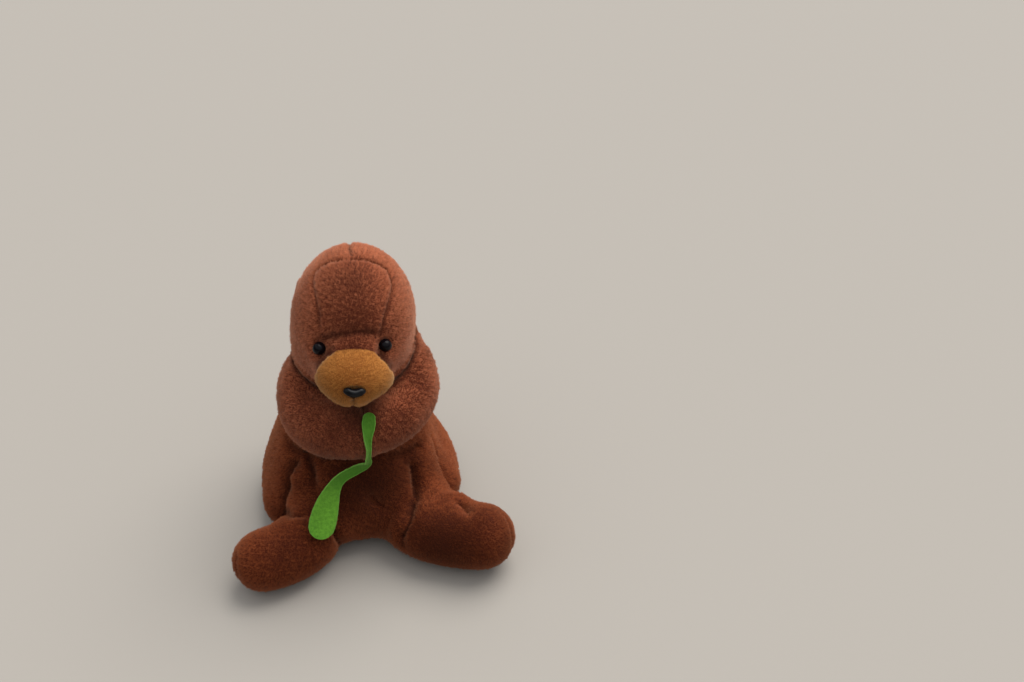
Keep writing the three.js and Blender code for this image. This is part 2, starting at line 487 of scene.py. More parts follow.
def room_above(mesh, nodes, reach=4.0):
    """How far the pile can rise at each corner of a skin before it meets another node, in
    millimetres."""
    at, way = corners_of(mesh), normals_of(mesh)
    room = np.full(len(at), reach)
    for node in nodes:
        tree = tree_of(node)
        for i in within(at, *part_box(node), reach):
            start = Vector(at[i] - way[i] * STEP_BACK * MM)
            hit = tree.ray_cast(start, Vector(way[i]), reach * MM)
            if hit[0] is not None:
                room[i] = min(room[i], max(0.0, hit[3] / MM - STEP_BACK))
    return room


# ---- pile


def ripple(points, wave, seed, count=26):
    """A smooth random field and its slope, made of waves about that many millimetres long."""
    rng = np.random.default_rng(seed)
    ways = unit(rng.normal(size=(count, 3)))
    ways = ways * (2 * math.pi / (wave * MM * rng.uniform(0.6, 2.0, (count, 1))))
    turn = points @ ways.T + rng.uniform(0, 2 * math.pi, count)
    size = math.sqrt(2 / count)
    slope = wave * MM * (np.cos(turn) @ ways) / 6.3  # the steepest waves have a slope near 1
    return size * np.sin(turn).sum(1), size * slope


def unrolled(points, line):
    """Each point's place on the limb's skin, rolled out flat and fitted to a square."""
    along, past, off, ahead, out = beside(line, points)
    side = unit(np.cross(ahead, (0.31, 0.52, 0.8)))
    top = np.cross(ahead, side)
    radial = out - (out * ahead).sum(1, keepdims=True) * ahead
    angle = np.arctan2((radial * top).sum(1), (radial * side).sum(1))
    wide = np.linalg.norm(radial, axis=1)
    up = along + np.arctan2(past, wide) * np.median(off)
    flat = np.stack([angle, up], 1)
    low, high = flat.min(0), flat.max(0)
    return 0.01 + 0.98 * (flat - low) / np.maximum(high - low, 1e-9)


SHORTEST = 0.35  # shorter tufts are left out
SUNK = 0.35  # how far a tuft's foot is under the skin
ABOVE_FLOOR = 0.15


def tufts(skin, room, pile, comb, line, seed, keep, density=TUFTS_PER_MM2, width=TUFT_WIDTH):
    """The pile of a skin as separate tufts: their corners, normals, tones, parting with its
    painted shade, and map. The room above the skin, the pile's length and keep are given for each
    of its corners."""
    mesh = skin.data
    rng = np.random.default_rng(seed)
    at, way = corners_of(mesh), normals_of(mesh)
    mesh.calc_loop_triangles()
    tri = read(mesh.loop_triangles, "vertices", 3, int)
    tri = tri[keep[tri[:, 0]]]

    # Each tuft stands at a random place in its triangle.
    a, b, c = at[tri[:, 0]], at[tri[:, 1]], at[tri[:, 2]]
    area = np.linalg.norm(np.cross(b - a, c - a), axis=1) / 2 / MM**2
    number = np.floor(area * density + rng.random(len(tri))).astype(int)
    of = np.repeat(np.arange(len(tri)), number)
    u, v = rng.random(len(of)), rng.random(len(of))
    over = u + v > 1
    u[over], v[over] = 1 - u[over], 1 - v[over]
    share = np.stack([1 - u - v, u, v], 1)

    def there(values):
        """What a value of the skin's corners is at each tuft."""
        found = values[tri[of]]
        return (found * (share[:, :, None] if found.ndim == 3 else share)).sum(1)

    root, out = there(at), unit(there(way))
    space, long = there(room), there(pile) if np.ndim(pile) else pile
    parted_and_shaded = there(read(mesh.attributes["parted_and_shaded"].data, "value", 1)[:, 0])

    # It leans as it is combed, and with its neighbours.
    field, slope = ripple(root, 3.2, seed + 1)
    fine, fine_slope = ripple(root, 1.7, seed + 2)
    broad, _ = ripple(root, 14, seed + 3)
    lean = 0.30 * slope + 0.26 * fine_slope + 0.24 * rng.normal(size=root.shape)
    lean += comb(root, out) * (0.45 + 0.15 * broad[:, None])
    lean -= (lean * out).sum(1, keepdims=True) * out
    axis = unit(out + lean)

    # It is shorter where the pile parts and where shade is painted on it, and where another piece
    # is close above.
    length = long * (0.92 + 0.12 * field + 0.10 * fine + 0.16 * rng.normal(size=len(root)))
    length *= 1 - 0.5 * parted_and_shaded
    length = np.clip(length, 0.4 * long, 1.35 * long)
    rise = length * (axis * out).sum(1)
    length *= np.minimum(1, 1.1 * space / np.maximum(rise, 1e-6))
    tall = length > SHORTEST
    root, out, axis, length = root[tall], out[tall], axis[tall], length[tall]
    field, fine, parted_and_shaded = field[tall], fine[tall], parted_and_shaded[tall]

    # It is a thin pyramid on a three-cornered foot just under the skin.
    side = unit(np.cross(out, rng.normal(size=out.shape)))
    front = np.cross(out, side)
    foot = root - out * SUNK * MM
    corners = []
    for turn in (0, 2 * math.pi / 3, 4 * math.pi / 3):
        reach = width * MM * rng.uniform(0.75, 1.25, (len(root), 1))
        corners.append(foot + reach * (math.cos(turn) * side + math.sin(turn) * front))
    tip = root + axis * (length * MM)[:, None]
    tip[:, 2] = np.maximum(tip[:, 2], ABOVE_FLOOR * MM)
    places = np.stack([*corners, tip], 1)
    away = unit(places[:, :3] - foot[:, None]) * 0.45
    normals = np.concatenate([unit(out[:, None] + away), unit(out + 0.7 * axis)[:, None]], 1)
    tone = np.clip(0.5 + 0.16 * field + 0.16 * fine + 0.16 * rng.normal(size=len(root)), 0, 1)
    return dict(places=places, normals=normals, tone=tone, parted_and_shaded=parted_and_shaded, map=unrolled(root, line))


TUFT_SIDES = np.array([[0, 1, 3], [1, 2, 3], [2, 0, 3]])
# Where a tuft's four corners are in its own small patch of the map.
TUFT_PATCH = np.array([(-0.5, -0.5), (0.5, -0.5), (0, 0.5), (0, 0)])
PATCH_SIZE = 0.003


def coat(name, made, material, most=64000):
    """Tufts as solid meshes, in pieces of at most that many tufts."""
    parts = max(1, math.ceil(len(made["tone"]) / most))
    order = np.argsort(made["map"][:, 0], kind="stable")
    for number, chosen in enumerate(np.array_split(order, parts), 1):
        n = len(chosen)
        mesh = bpy.data.meshes.new(name)
        mesh.vertices.add(4 * n)
        mesh.vertices.foreach_set("co", made["places"][chosen].ravel())
        faces = 4 * np.arange(n)[:, None, None] + TUFT_SIDES
        mesh.loops.add(9 * n)
        mesh.loops.foreach_set("vertex_index", faces.ravel().astype(np.int32))
        mesh.polygons.add(3 * n)
        mesh.polygons.foreach_set("loop_start", np.arange(0, 9 * n, 3, dtype=np.int32))
        uv = made["map"][chosen][:, None] + PATCH_SIZE * TUFT_PATCH[TUFT_SIDES].reshape(-1, 2)
        layer = mesh.uv_layers.new(name="OFBake", do_init=False)
        layer.uv.foreach_set("vector", uv.ravel().astype(np.float32))
        mark(mesh, "tip", np.tile((0, 0, 0, 1), n))
        for label in ("tone", "parted_and_shaded"):
            mark(mesh, label, np.repeat(made[label][chosen], 4))
        mesh.update(calc_edges=True)
        mesh.shade_smooth()
        soft = mesh.attributes.new("custom_normal", "FLOAT_VECTOR", "POINT")
        soft.data.foreach_set("vector", made["normals"][chosen].ravel().astype(np.float32))
        whole = piece(name if parts == 1 else f"{name}_{number}", mesh, material)
        whole.data.update()


# ---- materials


def group(name, inputs, outputs):
    """An empty shader node group with named sockets for numbers."""
    tree = bpy.data.node_groups.new(name, "ShaderNodeTree")
    kind = "NodeSocketFloat"
    for label, value in inputs.items():
        socket = tree.interface.new_socket(label, in_out="INPUT", socket_type=kind)
        socket.default_value = value
    for label in outputs:
        tree.interface.new_socket(label, in_out="OUTPUT", socket_type=kind)
    return tree, tree.nodes.new("NodeGroupInput"), tree.nodes.new("NodeGroupOutput")


def feed(tree, node, **inputs):
    """Links a node's inputs to sockets, or sets them to values. An input goes by its name, with
    underscores for its spaces, or as i and its number."""
    for key, value in inputs.items():
        target = node.inputs[int(key[1:]) if key[1:].isdigit() else key.replace("_", " ")]
        if isinstance(value, bpy.types.NodeSocket):
            tree.links.new(value, target)
        else:
            target.default_value = value


def add(tree, kind, settings=None, **inputs):
    """A new node with its settings and inputs."""
    made = tree.nodes.new("ShaderNode" + kind)
    for key, value in (settings or {}).items():
        setattr(made, key, value)
    feed(tree, made, **inputs)
    return made


def blend(tree, share, one, two):
    """A colour mixed from two."""
    return add(tree, "Mix", {"data_type": "RGBA"}, i0=share, i6=one, i7=two).outputs[2]


def combined(tree, operation, one, two):
    """A number made from two, by a Math node."""
    return add(tree, "Math", {"operation": operation}, i0=one, i1=two).outputs[0]


def marked(tree, label):
    """The number that mark() gave the corners under that label."""
    return add(tree, "Attribute", {"attribute_name": label}).outputs["Fac"]


def nap_group():
    """The uneven tone of a pile: fine grain, clumps and broad brushed patches."""
    sizes = {"Grain": 1100.0, "Clumps": 260.0, "Patches": 42.0}
    tree, given, result = group("nap", sizes, ("Tone", "Height", "Worn"))
    here = add(tree, "TexCoord").outputs["Object"]
    parts = []
    for label, detail, share in (("Grain", 2, 0.35), ("Clumps", 3, 0.4), ("Patches", 2, 0.25)):
        made = add(tree, "TexNoise", Vector=here, Scale=given.outputs[label], Detail=detail)
        noise = made.outputs["Fac"]
        parts.append(combined(tree, "MULTIPLY", noise, share))
    both = combined(tree, "ADD", parts[0], parts[1])
    total = combined(tree, "ADD", both, parts[2])
    tone = add(tree, "MapRange", Value=total, From_Min=0.36, From_Max=0.64).outputs["Result"]
    worn = add(tree, "MapRange", Value=noise, From_Min=0.42, From_Max=0.68).outputs["Result"]
    feed(tree, result, Tone=tone, Height=both, Worn=worn)
    return tree


def surface(name):
    """A new material with its node tree and its Principled shader."""
    made = bpy.data.materials.new(name)
    made.use_nodes = True
    tree = made.node_tree
    return made, tree, tree.nodes["Principled BSDF"]


def dress(tree, shader, nap, colour, bump, deep, **stated):
    """Gives a shader its colour, the nap's bump and what else is stated."""
    relief = add(tree, "Bump", Strength=bump, Distance=deep, Height=nap.outputs["Height"])
    feed(tree, shader, Base_Color=colour, Normal=relief.outputs["Normal"], **stated)


def scaled(colour, share):
    return tuple(share * x for x in colour[:3]) + (1,)


def plush(name, root, dark, light, bloom, sheen):
    """Short pile: dark down at the roots, where the pile parts and where shade is painted on it,
    and lighter at the tips.
    """
    made, tree, shader = surface(name)
    nap = add(tree, "Group", {"node_tree": NAP})
    tone = combined(tree, "ADD", nap.outputs["Tone"], marked(tree, "tone"))
    ends = blend(tree, combined(tree, "MULTIPLY", tone, 0.5), dark, light)
    worn = combined(tree, "MULTIPLY", nap.outputs["Worn"], 0.18)
    ends = blend(tree, worn, ends, light)
    rise = combined(tree, "POWER", marked(tree, "tip"), 0.8)
    colour = blend(tree, rise, root, ends)
    # The dark of the pile where it parts, and painted shade: the colour drawn towards a darker
    # root colour.
    deep = combined(tree, "MULTIPLY", marked(tree, "parted_and_shaded"), 0.85)
    colour = blend(tree, deep, colour, scaled(root, 0.35))
    bloom = {"Sheen_Weight": bloom, "Sheen_Roughness": 0.45, "Sheen_Tint": sheen}
    matt = {"Roughness": 0.92, "Specular_IOR_Level": 0.18}
    dress(tree, shader, nap, colour, bump=0.5, deep=0.6 * MM, **matt, **bloom)
    return made


def felt(name, dark, light, bright, cut):
    """Pressed felt, brighter along its cut edge, and with painted light where it is marked pale.
    """
    made, tree, shader = surface(name)
    nap = add(tree, "Group", {"node_tree": NAP}, Grain=2400.0, Clumps=620.0, Patches=70.0)
    tone = nap.outputs["Tone"]
    body = blend(tree, tone, dark, light)
    # Painted light: where it is marked pale, the felt is drawn towards a brighter green.
    body = blend(tree, marked(tree, "pale"), body, blend(tree, tone, light, bright))
    rim = add(tree, "MapRange", Value=marked(tree, "edge"), From_Min=0.45, From_Max=1.0)
    colour = blend(tree, rim.outputs["Result"], body, cut)
    bloom = {"Sheen_Weight": 0.25, "Sheen_Roughness": 0.5, "Sheen_Tint": (0.75, 1.0, 0.45, 1)}
    matt = {"Roughness": 0.95, "Specular_IOR_Level": 0.15}
    dress(tree, shader, nap, colour, bump=0.7, deep=0.3 * MM, **matt, **bloom)
    return made


def moulded(name, colour, specular, rough, grain, bump):
    """Black moulded plastic with faint handling marks."""
    made, tree, shader = surface(name)
    nap = add(tree, "Group", {"node_tree": NAP}, Grain=grain, Clumps=900.0, Patches=160.0)
    marks = add(tree, "MapRange", Value=nap.outputs["Tone"], To_Min=rough, To_Max=rough + 0.12)
    colour = blend(tree, nap.outputs["Worn"], colour, scaled(colour, 1.6))
    glossy = {"Roughness": marks.outputs["Result"], "Specular_IOR_Level": specular}
    dress(tree, shader, nap, colour, bump=bump, deep=0.1 * MM, **glossy)
    return made


NAP = nap_group()
BROWN = plush(
    "brown plush",
    root=(0.100, 0.020, 0.008, 1),
    dark=(0.370, 0.083, 0.033, 1),
    light=(0.820, 0.260, 0.118, 1),
    bloom=0.4,
    sheen=(1.0, 0.62, 0.45, 1),
)
# The body's darker copy of the brown plush: painted shade, for the body is sewn from the same
# plush as the head and arms.
SHADED_BROWN = plush(
    "shaded brown plush",
    root=(0.070, 0.011, 0.003, 1),
    dark=(0.220, 0.040, 0.011, 1),
    light=(0.500, 0.125, 0.040, 1),
    bloom=0.28,
    sheen=(1.0, 0.52, 0.30, 1),
)
TAN = plush(
    "tan plush",
    root=(0.250, 0.080, 0.014, 1),
    dark=(0.500, 0.185, 0.036, 1),
    light=(0.760, 0.320, 0.072, 1),
    bloom=0.35,
    sheen=(1.0, 0.78, 0.5, 1),
)
# Its bright green is painted light, used where the strip is marked pale.
GREEN = felt(
    "green felt",
    dark=(0.042, 0.140, 0.010, 1),
    light=(0.064, 0.190, 0.016, 1),
    bright=(0.140, 0.365, 0.030, 1),
    cut=(0.130, 0.330, 0.045, 1),
)
EYE_BLACK = moulded(
    "eye plastic", (0.003, 0.002, 0.003, 1), specular=0.11, rough=0.07, grain=3000.0, bump=0.02
)
NOSE_BLACK = moulded(
    "nose plastic", (0.003, 0.003, 0.004, 1), specular=0.16, rough=0.26, grain=2200.0, bump=0.25
)


# ---- the stage


def make_camera():
    camera = new_object("camera", bpy.data.cameras.new("camera"))
    bpy.context.scene.camera = camera
    camera.location = spots((-14.52, -516.75, 493.9))
    camera.rotation_euler = (math.radians(53), 0, math.radians(-12.1))
    camera.data.sensor_width = 36
    camera.data.lens = 38.67
    camera.data.clip_start = 0.01


def make_floor():
    """A plain pale floor, so wide that its edge lies at the horizon."""
    bm = bmesh.new()
    bmesh.ops.create_circle(bm, cap_ends=True, segments=64, radius=40)
    floor = new_object("floor", mesh_from(bm, "floor"))
    made, tree, shader = surface("pale floor")
    feed(tree, shader, Base_Color=(0.38, 0.35, 0.312, 1), Roughness=0.9)
    floor.data.materials.append(made)


def make_light():
    """A soft sky, bright overhead and dim towards the horizon, before a pale backdrop, and a broad
    sun from the upper right, a little behind the toy."""
    world = bpy.data.worlds.new("soft light")
    bpy.context.scene.world = world
    world.use_nodes = True
    tree = world.node_tree
    way = add(tree, "TexCoord").outputs["Generated"]
    towards = {"operation": "DOT_PRODUCT"}
    up = add(tree, "VectorMath", towards, i0=way, i1=(0.12, 0.0, 1.0)).outputs["Value"]
    glow = add(tree, "MapRange", Value=up, From_Min=0.08, From_Max=0.62, To_Min=0.03, To_Max=0.95)
    sky = blend(tree, glow.outputs["Result"], (0, 0, 0, 1), (0.95, 0.97, 1.0, 1))
    seen = add(tree, "LightPath").outputs["Is Camera Ray"]
    shown = blend(tree, seen, sky, (0.545, 0.505, 0.45, 1))
    feed(tree, tree.nodes["Background"], Color=shown)

    key = new_object("key", bpy.data.lights.new("key", "SUN"))
    key.data.angle = math.radians(50)
    key.data.energy = 2.4
    key.data.color = (1.0, 0.97, 0.93)
    key.rotation_euler = Vector((0.48, 0.34, 1.0)).to_track_quat("Z", "Y").to_euler()
    bpy.context.scene.view_settings.view_transform = "Standard"


# ---- the body

LIMBS = ("trunk", "leg_left", "leg_right", "tail")
SEAT_LIFT = 0.35  # how far above the floor the body's skin stays

LEFT_HIP = [(-40, -31, 54), (-44, -32, 46), (-48, -37, 34), (-51, -40, 24)]
RIGHT_HIP = [(28.5, -41.5, 48), (29, -44, 43), (27.5, -49, 36), (25.6, -57, 34)]
RIGHT_GROIN = [(25.6, -57, 34), (21.7, -67.5, 33), (18, -74, 30), (15.4, -76, 26), (11, -75, 21)]

# Each sewn line of the body: its points, its depth and width, and how much it puckers.
BODY_SEAMS = [
    ([*LEFT_HIP, (-54, -39, 18)], 2.0, 1.5, 0.9),
    ([(-35, -33, 59), (-33.6, -37.6, 55), (-32, -42, 50), (-30.6, -45.5, 46)], 1.6, 1.6, 0.7),
    (RIGHT_HIP, 2.0, 1.5, 0.8),
    (RIGHT_GROIN, 1.7, 1.6, 0.7),
    ([(42, -18, 47), (44, -25, 39), (45, -31, 33), (47, -37, 25.6), (50, -40, 17)], 0.5, 1.4, 0.4),
    ([(-2, 50, 18), (-3, 48, 38), (-2, 45, 62), (1, 42, 85), (6, 38, 98)], 1.6, 1.5, 1.0),
]
# Each soft fold of it: its points, its depth and its width.
BODY_FOLDS = [
    (LEFT_HIP, 1.6, 4.0),
    ([(-36, -32, 60), (-33.6, -37.6, 55), (-32, -42, 50), (-29, -47, 42)], 1.8, 3.6),
    ([*RIGHT_HIP, (20, -70, 32)], 1.8, 4.0),
    ([(49.8, -63.4, 34.7), (52.5, -70, 36.7), (53.7, -80, 39)], 3.2, 2.8),
    ([(-1, -54, 41), (1.5, -55.5, 37), (5, -57, 33), (10, -58, 29)], 3.2, 3.2),
    ([(-54, -39, 18), (-50, -47, 30), (-45, -57.6, 37), (-36, -61, 39)], 3.0, 2.6),
    ([(-36, -61, 39), (-29, -63, 36), (-22.5, -67, 30), (-18.8, -68, 20.5)], 3.2, 2.8),
    ([(-22.5, -67, 30), (-18.8, -68, 20.5), (-17.5, -66, 12), (-17, -64, 5)], 2.8, 2.8),
    ([(12, -73, 27), (15, -76, 22), (16, -77, 14)], 1.8, 3.0),
    ([(-79.5, -72, 30), (-79.5, -77, 25), (-78.7, -80, 18), (-78, -80, 10)], 0.9, 1.6),
    ([(75, -80, 39), (77, -86, 33), (78, -92, 24), (76, -92, 12)], 0.9, 1.6),
    ([(36, -30, 52), (29, -38, 53), (22, -43, 56), (12, -46, 60)], 3.0, 4.0),
    ([(-43.4, -17.3, 56.7), (-40, -30, 58), (-33, -38, 61), (-22, -45, 62)], 2.6, 4.0),
]
# Hollows and swellings of the body: a place, a radius and a depth.
BODY_DENTS = [
    ((24, -41, 54), 7.0, 2.2),
    ((-30, -42, 60), 7.0, 2.0),
    ((-10, -58, 28), 12.0, -2.0),
    ((16, -60, 26), 9.0, -1.0),
    ((15, -53, 44), 7.0, -1.2),
    ((-42, -39, 42), 7.0, -1.0),
    ((40, -40, 42), 13.0, -1.4),
    ((-62, -72, 34), 12.0, -0.8),
    ((66, -82, 36), 10.0, -1.2),
    ((-6, -50, 52), 9.0, 1.0),
    ((56, -35, 19), 10.0, -4.4),
    ((53, -56, 30), 10.0, -3.8),
    ((50, -8, 37), 13.0, 1.8),
    ((-56, -27, 13), 10.0, -2.4),
]
# Painted shade on the pile in and round the lap, under the arms and on the legs: a place, a radius
# and a share.
BODY_PAINTED_SHADE = [
    ((0, -52, 46), 27.0, 0.85),
    ((2, -62, 20), 14.0, 0.40),
    ((36, -90, 24), 25.0, 0.72),
    ((66, -84, 38), 18.0, 0.42),
    ((74, -94, 28), 14.0, 0.36),
    ((46, -34, 36), 13.0, 0.35),
    ((27, -42, 50), 10.0, 0.70),
    ((-30, -64, 32), 11.0, 0.50),
    ((-50, -80, 32), 16.0, 0.36),
    ((-36, -44, 46), 8.0, 0.40),
]


def from_limbs(at):
    """How far each place is from each of the limbs, in millimetres, or 99 where it is far off."""
    off = np.full((len(at), len(LIMBS)), 99.0)
    for number, name in enumerate(LIMBS):
        tree = tree_of(name)
        for i in within(at, *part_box(name), 20):
            off[i, number] = tree.find_nearest(Vector(at[i]))[3] / MM
    return off


def make_body():
    """The trunk, the legs and the tail, as one bag."""
    skin = Skin(union(LIMBS, 0.35, VOXEL))
    skin.smooth(16)
    off = from_limbs(skin.at)
    owner = off.argmin(1)
    # The limbs flow into the trunk, the right leg more than the left.
    reach = 3.4 + 5.6 * smooth_step(-10 * MM, 20 * MM, skin.at[:, 0])
    meeting = fading(np.sort(off, 1)[:, 1], reach)
    skin.smooth(260, 0.5, meeting * (skin.at[:, 2] > 3 * MM))
    presses = ("head", "muzzle", "arm_left", "arm_right")
    skin.inset(presses)
    skin.fill([spots(line[0]) for line in BODY_SEAMS], presses)

    for line, depth, width, pucker in BODY_SEAMS:
        skin.fold(spots(line), depth, width, pucker)
    for line, depth, width in BODY_FOLDS:
        skin.fold(spots(line), depth, width)
    for place, radius, depth in BODY_DENTS:
        skin.dent(spots(place), radius, depth)
    # Painted shade where the head and arms lie close, and over the lap and the legs.
    skin.shade(presses, 2.6, 0.6)
    skin.flatten(BODY_PAINTED_SHADE)
    skin.smooth(1, 0.4)
    skin.at[:, 2] = np.maximum(skin.at[:, 2], SEAT_LIFT * MM)
    skin.finish()

    body = piece("body", skin.mesh, SHADED_BROWN, LIMBS)
    room = room_above(skin.mesh, (*presses, "leaf"))
    seated = (skin.normals()[:, 2] < -0.85) & (skin.at[:, 2] < 2.2 * MM)
    covered = ~seated & (room > LEAST_ROOM)
    for number, name in enumerate(LIMBS):
        pile = np.full(len(skin.at), PILE)
        if name.startswith("leg"):
            pile -= 0.35 * smooth_step(25 * MM, 60 * MM, np.abs(skin.at[:, 0]))
        comb = combed_down if name == "trunk" else along_limb(name)
        line, seed = spots(LINES[name]), 100 + 10 * number
        made = tufts(body, room, pile, comb, line, seed, covered & (owner == number))
        coat("pile_" + name, made, SHADED_BROWN)


def combed_down(points, out):
    return 0 * points - UP


def along_limb(name):
    """Combs the pile along a limb towards its end."""
    return lambda points, out: beside(spots(LINES[name]), points)[3]


# ---- arms

ARM_SEAMS = {
    "left": [(-38, 8, 78), (-43, -14, 68), (-31, -38, 63), (-10, -52, 66)],
    "right": [(42, 8, 80), (47, -14, 76), (38, -36, 70), (20, -52, 66)],
}
ARM_FOLDS = {
    "left": [((-36, 4, 100), (-41, -8, 92), (-44, -20, 82)), ((-20, -52, 88), (-8, -58, 84))],
    "right": [((36, 8, 104), (43, -4, 97), (48, -12, 88)), ((28, -50, 92), (20, -56, 86))],
}
# Painted shade on the pile of both arms, under the chin and on the front of the paws: a place, a
# radius and a share.
ARM_PAINTED_SHADE = [((1, -51, 98), 12.0, 0.9), ((0, -58, 84), 20.0, 0.3)]


def make_arm(side):
    name = "arm_" + side
    skin = Skin(union([name], 0.0, VOXEL))
    skin.smooth(16)
    others = ("head", "muzzle", "trunk", "arm_right" if side == "left" else "arm_left")
    skin.inset(others)
    seam = spots(ARM_SEAMS[side])
    skin.fill([seam], others)
    skin.fold(seam, 1.1, 1.4, 0.8)
    for line in ARM_FOLDS[side]:
        skin.fold(spots(line), 0.5, 4.0)
    # Painted shade under the chin and cheeks, wider towards the front, and under each arm.
    skin.shade(("head", "muzzle"), 2.4 + 2.0 * smooth_step(-10, -35, skin.at[:, 1] / MM), 0.85)
    under = ((-18 if side == "left" else 18, -52, 67), 15.0, 0.55)
    skin.flatten((*ARM_PAINTED_SHADE, under))
    skin.smooth(1, 0.4)
    skin.finish()
    arm = piece(name + "_skin", skin.mesh, BROWN, [name])
    room = room_above(skin.mesh, (*others, "leaf"))
    line, seed = spots(LINES[name]), 300 + len(side)
    made = tufts(arm, room, PILE, along_limb(name), line, seed, room > LEAST_ROOM)
    coat("pile_" + name, made, BROWN)


# ---- the head

# The tan panel is bounded by a plane across the bridge and one down each cheek: for each, a
# place on it and the way out of the panel.
PANEL_SIDES = [
    ((0, -38.9, 3.2), (0, 4, 1)),
    ((-24.0, -45.1, -8.3), (-0.88, 0.40, 0.26)),
    ((20.7, -46.9, -1.1), (0.83, 0.3, 0.5)),
]
SEAM_CORNER = 4.5  # how round the panel's upper corners are

# Lines of the head, in its own frame. The gusset is the panel over the forehead.
LEFT_GUSSET = [
    (-19.9, -30.3, 11.4), (-21.1, -26.3, 18.5), (-22.2, -21.6, 23.3), (-23.6, -15.7, 26.7),
    (-24.4, -10.4, 28.8), (-23.8, -6.5, 31.2), (-21.5, -3.3, 34.1), (-16.2, -3.6, 38.5),
    (-6.3, -5.7, 42.5),
]
RIGHT_GUSSET = [
    (-6.3, -5.7, 42.5), (4.5, -5.9, 43.0), (11.9, -5.9, 40.7), (17.8, -7.8, 36.6),
    (20.5, -13.7, 31.8), (19.5, -20.9, 27.7), (17.0, -27.9, 21.9), (15.3, -32.0, 15.8),
    (14.1, -34.6, 9.6),
]
BACK_SEAM = [(-3.4, -5.5, 43.3), (-3.8, 9.9, 42.1), (-3, 25, 32), (-2, 36, 14), (-1, 38, -6)]
BROW = [
    (-20, -31, 5), (-15.3, -34.1, 8.8), (-9.2, -35.8, 12),
    (0, -36.6, 14), (7, -36.2, 14), (13.1, -34.6, 12),
]
MOUTH = [(-0.6, -60.4, -11), (-0.6, -60.5, -13), (-0.5, -58, -18), (-0.3, -52, -23)]
# Hollows and swellings of the face: a place in the head's frame, a radius and a depth.
FACE_DENTS = [
    ((-19.0, -32.6, 0.4), 5.0, 1.8),
    ((16.6, -33.8, 4.0), 5.0, 1.8),
    ((-7, -53, -20), 6.0, -0.9),
    ((5, -53, -21), 6.0, -0.8),
    ((12, -50, -20), 7.0, 1.2),
    ((-1, -53, -24), 8.0, -1.5),
    ((-13, -54, -9), 8.0, -0.7),
    ((13, -54, -9), 8.0, -0.7),
    ((-0.5, -58, -5), 4.0, -0.5),
    ((0, -38, 9.5), 5.0, -0.5),
    ((-26, -26, -4), 8.0, -0.8),
    ((26, -26, -4), 8.0, -0.8),
]
FACE_PAINTED_SHADE = [((4, -18, 167), 16.0, 0.48), ((2, -31, 152), 14.0, 0.25)]  # as ARM_PAINTED_SHADE: painted shade on the forehead


def off_seam(local):
    """How far each place in the head's frame is outside the tan panel, in millimetres."""
    off = -99.0
    for at, out in PANEL_SIDES:
        beyond = (local - at) @ (np.array(out) / np.linalg.norm(out))
        share = np.clip(0.5 + 0.5 * (beyond - off) / SEAM_CORNER, 0, 1)
        off = off + (beyond - off) * share + SEAM_CORNER * share * (1 - share)
    return off


def part_panel(skin):
    """The head's skin cut in two along the seam of the tan panel. For the cut, how far a corner is
    outside the panel takes the place of its depth."""
    bm = bmesh.new()
    bm.from_mesh(skin.mesh)
    depth = bm.verts.layers.float.new("depth")
    local = to_head(skin.at)
    for v, place, off in zip(bm.verts, local, off_seam(local)):
        v[depth] = place[1]
        v.co = (place[0], off, place[2])
    around = [*bm.verts, *bm.edges, *bm.faces]
    bmesh.ops.bisect_plane(bm, geom=around, dist=0.02, plane_co=(0, 0, 0), plane_no=(0, 1, 0))
    panel = bm.copy()
    made = []
    for half, sign in ((bm, -1), (panel, 1)):
        spare = [f for f in half.faces if sign * f.calc_center_median().y > 0]
        bmesh.ops.delete(half, geom=spare, context="FACES")
        layer = half.verts.layers.float["depth"]
        for v in half.verts:
            v.co.y = v[layer]
        half.verts.layers.float.remove(layer)
        half.transform(HEAD)
        made.append(mesh_from(half, "half"))
    return made


HEAD_PRESSES = ("trunk", "arm_left", "arm_right")


